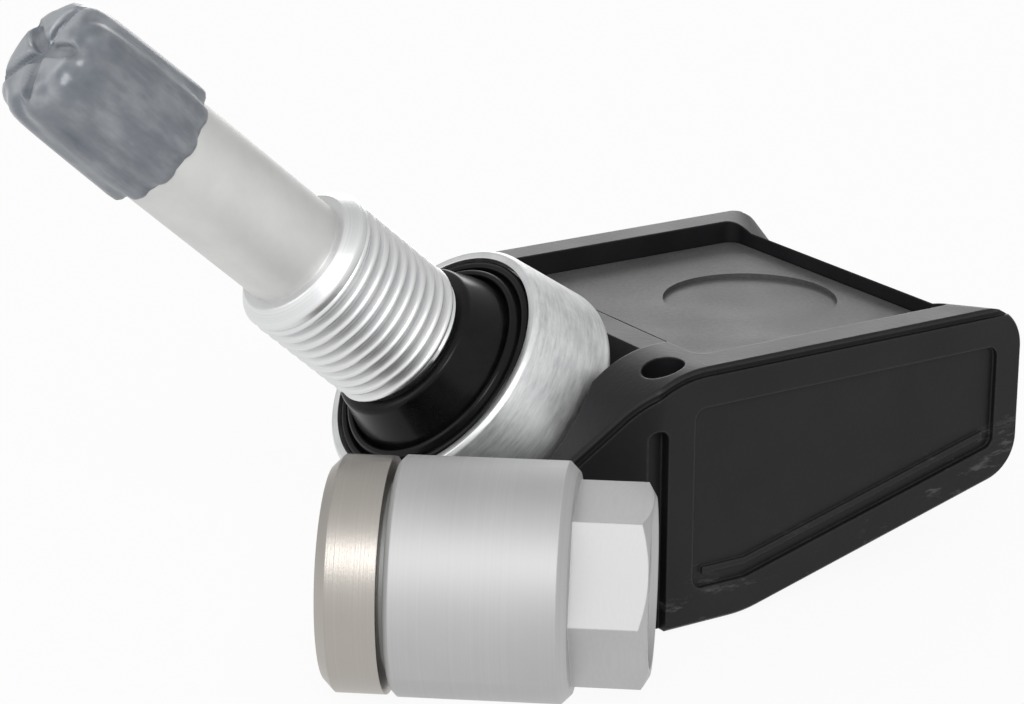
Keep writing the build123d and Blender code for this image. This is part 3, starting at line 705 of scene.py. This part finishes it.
def capRings():
    roof = [(cap["roofHole"], cap["roof"]), (cap["bore"], cap["roof"])]
    crown = cap["crown"] + [(radius, cap["top"]) for radius in cap["topRadii"]]
    plainRoof, plainCrown = ([(*ring, 0.0, 0.0) for ring in rings] for rings in (roof, crown))
    return plainRoof + cap["side"] + plainCrown


def buildCap():
    bm = bmesh.new()
    count = cap["lobes"] * cap["stepsPerLobe"]
    loops = []
    for radius, along, depth, sink in capRings():
        loop = bmesh.ops.create_circle(bm, cap_ends=False, segments=count, radius=radius)["verts"]
        for v in loop:
            turn = math.atan2(v.co.y, v.co.x)
            flute = wave(turn, cap["lobes"])
            v.co *= 1 - depth * flute / radius
            v.co.z = along - sink * flute
            if along > cap["roof"]:
                v.co.z -= starSink(turn, radius)
        loops.append(loop)
    for pair in zip(loops, loops[1:]):
        rings = [set(loop) for loop in pair]
        edges = [edge for edge in bm.edges if any(ring.issuperset(edge.verts) for ring in rings)]
        bmesh.ops.bridge_loops(bm, edges=edges)
    for loop in (loops[0], loops[-1]):
        bmesh.ops.contextual_create(bm, geom=loop)
    made = finishMesh(bm, "valveCap", stemPlace, capPlastic, cap["sharp"])
    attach(made, "cap")
    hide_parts("valve_cap")


buildCap()
print("cap done")

# thread in the nut's bore
nutThread = {
    "bore": 4.7,
    # radius over the bore, and share of half the pitch
    "tooth": [(0.05, -0.8), (-0.09, -0.25), (-0.09, 0.25), (0.05, 0.8)],
    "pitch": 0.907,
    "start": 1.2,
    "end": 19.0,
    "stepsPerTurn": 64,
    "sharp": 25.0,
}


def buildNutThread():
    bm = bmesh.new()
    bore, start = nutThread["bore"], nutThread["start"]
    half = nutThread["pitch"] / 2
    turns = (nutThread["end"] - start) / nutThread["pitch"]
    tooth = [(bore + over, start + half * share) for over, share in nutThread["tooth"]]
    spinHelix(bm, tooth, nutThread["pitch"] * turns, turns, nutThread["stepsPerTurn"])
    closeEnds(bm)
    made = finishMesh(bm, "nutThread", nutPlace, nutMetal, nutThread["sharp"])
    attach(made, "sensor")


buildNutThread()
print("nut thread done")

# spring of the valve core, wound from its foot to its head
spring = {
    "radius": 0.95,
    "wire": 0.13,
    "wireSides": 8,
    "foot": 33.09,
    "head": 40.41,
    "turns": 4,
    "stepsPerTurn": 32,
    "sharp": 60.0,
}


def buildSpring():
    bm = bmesh.new()
    radius, wire, foot, head = (spring[key] for key in ("radius", "wire", "foot", "head"))
    corners = [2 * math.pi * side / spring["wireSides"] for side in range(spring["wireSides"])]
    section = [(radius + wire * math.cos(turn), foot + wire * math.sin(turn)) for turn in corners]
    spinHelix(bm, section, head - foot, spring["turns"], spring["stepsPerTurn"])
    closeEnds(bm)
    made = finishMesh(bm, "coreSpring", stemPlace, screwSteel, spring["sharp"])
    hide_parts("core_spring")
    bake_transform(made)


buildSpring()
print("core spring done")

# camera fitted to the photograph: lens and sensor in millimetres, the rest in metres
camera = {
    "at": (0.105480, 0.164044, 0.078763),
    "right": (-0.844397, 0.535713, 0.002249),
    "down": (0.164142, 0.262714, -0.950809),
    "forward": (-0.509952, -0.802491, -0.309768),
    "lens": 107.49,
    "sensor": 36.0,
    "clipStart": 0.01,
}


def buildCamera():
    data = bpy.data.cameras.new("photoCamera")
    data.sensor_width = camera["sensor"]
    data.lens = camera["lens"]
    data.clip_start = camera["clipStart"]
    holder = bpy.data.objects.new("photoCamera", data)
    right, up, back = Vector(camera["right"]), -Vector(camera["down"]), -Vector(camera["forward"])
    turn = Matrix((right, up, back)).transposed().to_4x4()
    holder.matrix_world = Matrix.Translation(camera["at"]) @ turn
    bpy.context.scene.collection.objects.link(holder)
    bpy.context.scene.camera = holder


# floor and light, in metres and watts
studio = {
    "floorSize": 3.0,
    "floorDrop": 0.0002,
    "floor": (0.9, 0.9, 0.9, 1),
    "floorRoughness": 0.9,
    "floorShown": 0.93,
    "white": (1, 1, 1, 1),
    "fill": 0.45,
    "sky": 0.85,
    "skyGain": 0.3,
    "aim": (0, 0, 0.01),
    "lamps": {
        "key": {"at": (0.3, 0.45, 0.4), "size": 0.28, "watts": 1.5},
        "side": {"at": (0.5, -0.1, 0.3), "size": 0.35, "watts": 0.5},
        "back": {"at": (-0.42, -0.62, 0.25), "size": 0.4, "watts": 1.2},
    },
}


def buildFloor():
    bm = bmesh.new()
    bmesh.ops.create_grid(bm, x_segments=1, y_segments=1, size=studio["floorSize"])
    bmesh.ops.translate(bm, verts=bm.verts, vec=(0, 0, -studio["floorDrop"]))
    mesh = bpy.data.meshes.new("studioFloor")
    bm.to_mesh(mesh)
    bm.free()
    floor = bpy.data.objects.new("studioFloor", mesh)
    bpy.context.scene.collection.objects.link(floor)
    pale = Finish("floorPale", Roughness=studio["floorRoughness"], Base_Color=studio["floor"])
    floor.data.materials.append(pale.material)
    # what the camera sees of the floor is mostly plain white
    lit = Sock(pale, pale.shader.outputs[0])
    glow = pale.add("Emission", Color=studio["white"])
    shown = pale.add("MixShader", i0=pale.seenDirectly() * studio["floorShown"], i1=lit, i2=glow)
    pale.plug(pale.nodeTree.nodes["Material Output"].inputs["Surface"], shown)


def buildWorld():
    world = bpy.data.worlds.new("studioWorld")
    bpy.context.scene.world = world
    world.use_nodes = True
    tree = Tree(world.node_tree)
    # brighter toward the camera, darker behind the object
    towardCamera = (-Vector((*camera["forward"][:2], 0))).normalized()
    direction = tree.add("TexCoord", output="Generated")
    facing = tree.vector("DOT_PRODUCT", "Value", i0=direction, i1=towardCamera)
    sky = (facing * studio["skyGain"] + studio["sky"]).atMost(1.0)
    strength = tree.seenDirectly() * (sky - studio["fill"]) + studio["fill"]
    background = tree.nodeTree.nodes["Background"]
    tree.plug(background.inputs["Color"], studio["white"])
    tree.plug(background.inputs["Strength"], strength)


def buildLamps():
    for name, facts in studio["lamps"].items():
        lamp = bpy.data.lights.new(name + "Light", "AREA")
        lamp.energy = facts["watts"]
        lamp.shape = "SQUARE"
        lamp.size = facts["size"]
        holder = bpy.data.objects.new(name + "Light", lamp)
        holder.location = facts["at"]
        toObject = Vector(studio["aim"]) - Vector(facts["at"])
        holder.rotation_euler = toObject.to_track_quat("-Z", "Y").to_euler()
        bpy.context.scene.collection.objects.link(holder)


bpy.context.scene.view_settings.view_transform = "Standard"
buildFloor()
buildWorld()
buildLamps()
buildCamera()
print("studio and camera done")
